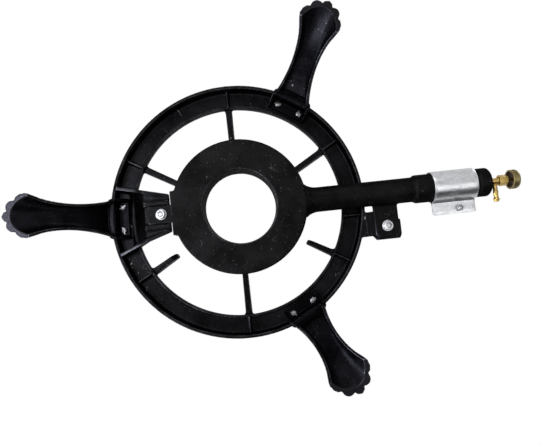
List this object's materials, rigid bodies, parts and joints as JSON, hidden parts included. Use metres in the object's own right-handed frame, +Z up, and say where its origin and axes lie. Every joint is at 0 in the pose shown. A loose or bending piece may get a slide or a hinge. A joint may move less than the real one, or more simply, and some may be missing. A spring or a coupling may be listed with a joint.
{
  "type": "gas burner",
  "caption": "Cast iron ring gas burner in a round pan support on screwed legs with scalloped feet, with a sliding air shutter on its mixing tube and a brass needle valve.",
  "frame": {"origin": "under the middle of the part's box, on the floor the feet stand on", "axes": "+Z up, +X along the mixing tube towards the valve's knob, +Y to the side of the tube's lug and the hose barb"},
  "size_m": [0.543, 0.386, 0.134],
  "materials": {
    "ring_iron": "semi-gloss black enamel over a fine cast grain",
    "leg_iron": "semi-gloss black enamel over a fine cast grain",
    "burner_iron": "satin black over a cast grain",
    "zinc": "bright zinc plate",
    "galvanised_sheet": "brushed bright sheet",
    "brass": "turned brass",
    "dull_brass": "dull knurled brass",
    "packing_fibre": "matte graphited fibre"
  },
  "bodies": {
    "root": {"support_ring": "ring_iron", "leg_rear": "leg_iron", "leg_left": "leg_iron", "leg_right": "leg_iron", "leg_rear_screw_1": "zinc", "leg_rear_screw_2": "zinc", "leg_rear_nut_1": "zinc", "leg_rear_nut_2": "zinc", "leg_left_screw_1": "zinc", "leg_left_screw_2": "zinc", "leg_left_nut_1": "zinc", "leg_left_nut_2": "zinc", "leg_right_screw_1": "zinc", "leg_right_screw_2": "zinc", "leg_right_nut_1": "zinc", "leg_right_nut_2": "zinc", "rear_lug_screw": "zinc", "rear_lug_washer": "zinc", "rear_lug_nut": "zinc", "tube_lug_screw": "zinc", "tube_lug_washer": "zinc", "tube_lug_nut": "zinc", "burner_casting": "burner_iron", "valve_body": "brass", "injector": "brass", "hose_barb": "brass", "gland_nut": "brass", "gland_packing": "packing_fibre"},
    "shutter": {"air_shutter": "galvanised_sheet", "air_shutter_screw": "zinc", "air_shutter_nut": "zinc"},
    "spindle": {"valve_spindle": "brass"},
    "knob": {"control_knob": "dull_brass", "knob_nut": "zinc"}
  },
  "joints": [
    {"name": "shutter_slide", "type": "slide", "parent": "root", "child": "shutter", "axis": [1, 0, 0], "range_m": [-0.016, 0]},
    {"name": "spindle_travel", "type": "slide", "parent": "root", "child": "spindle", "axis": [1, 0, 0], "range_m": [0, 0.0015]},
    {"name": "knob_turn", "type": "hinge", "parent": "spindle", "child": "knob", "pos_m": [0.267, -0.00377, 0.086], "axis": [1, 0, 0], "range_deg": [0, 540]}
  ],
  "couplings": [
    {"joint": "spindle_travel", "follows": "knob_turn", "m_per_rad": 0.00015915}
  ]
}
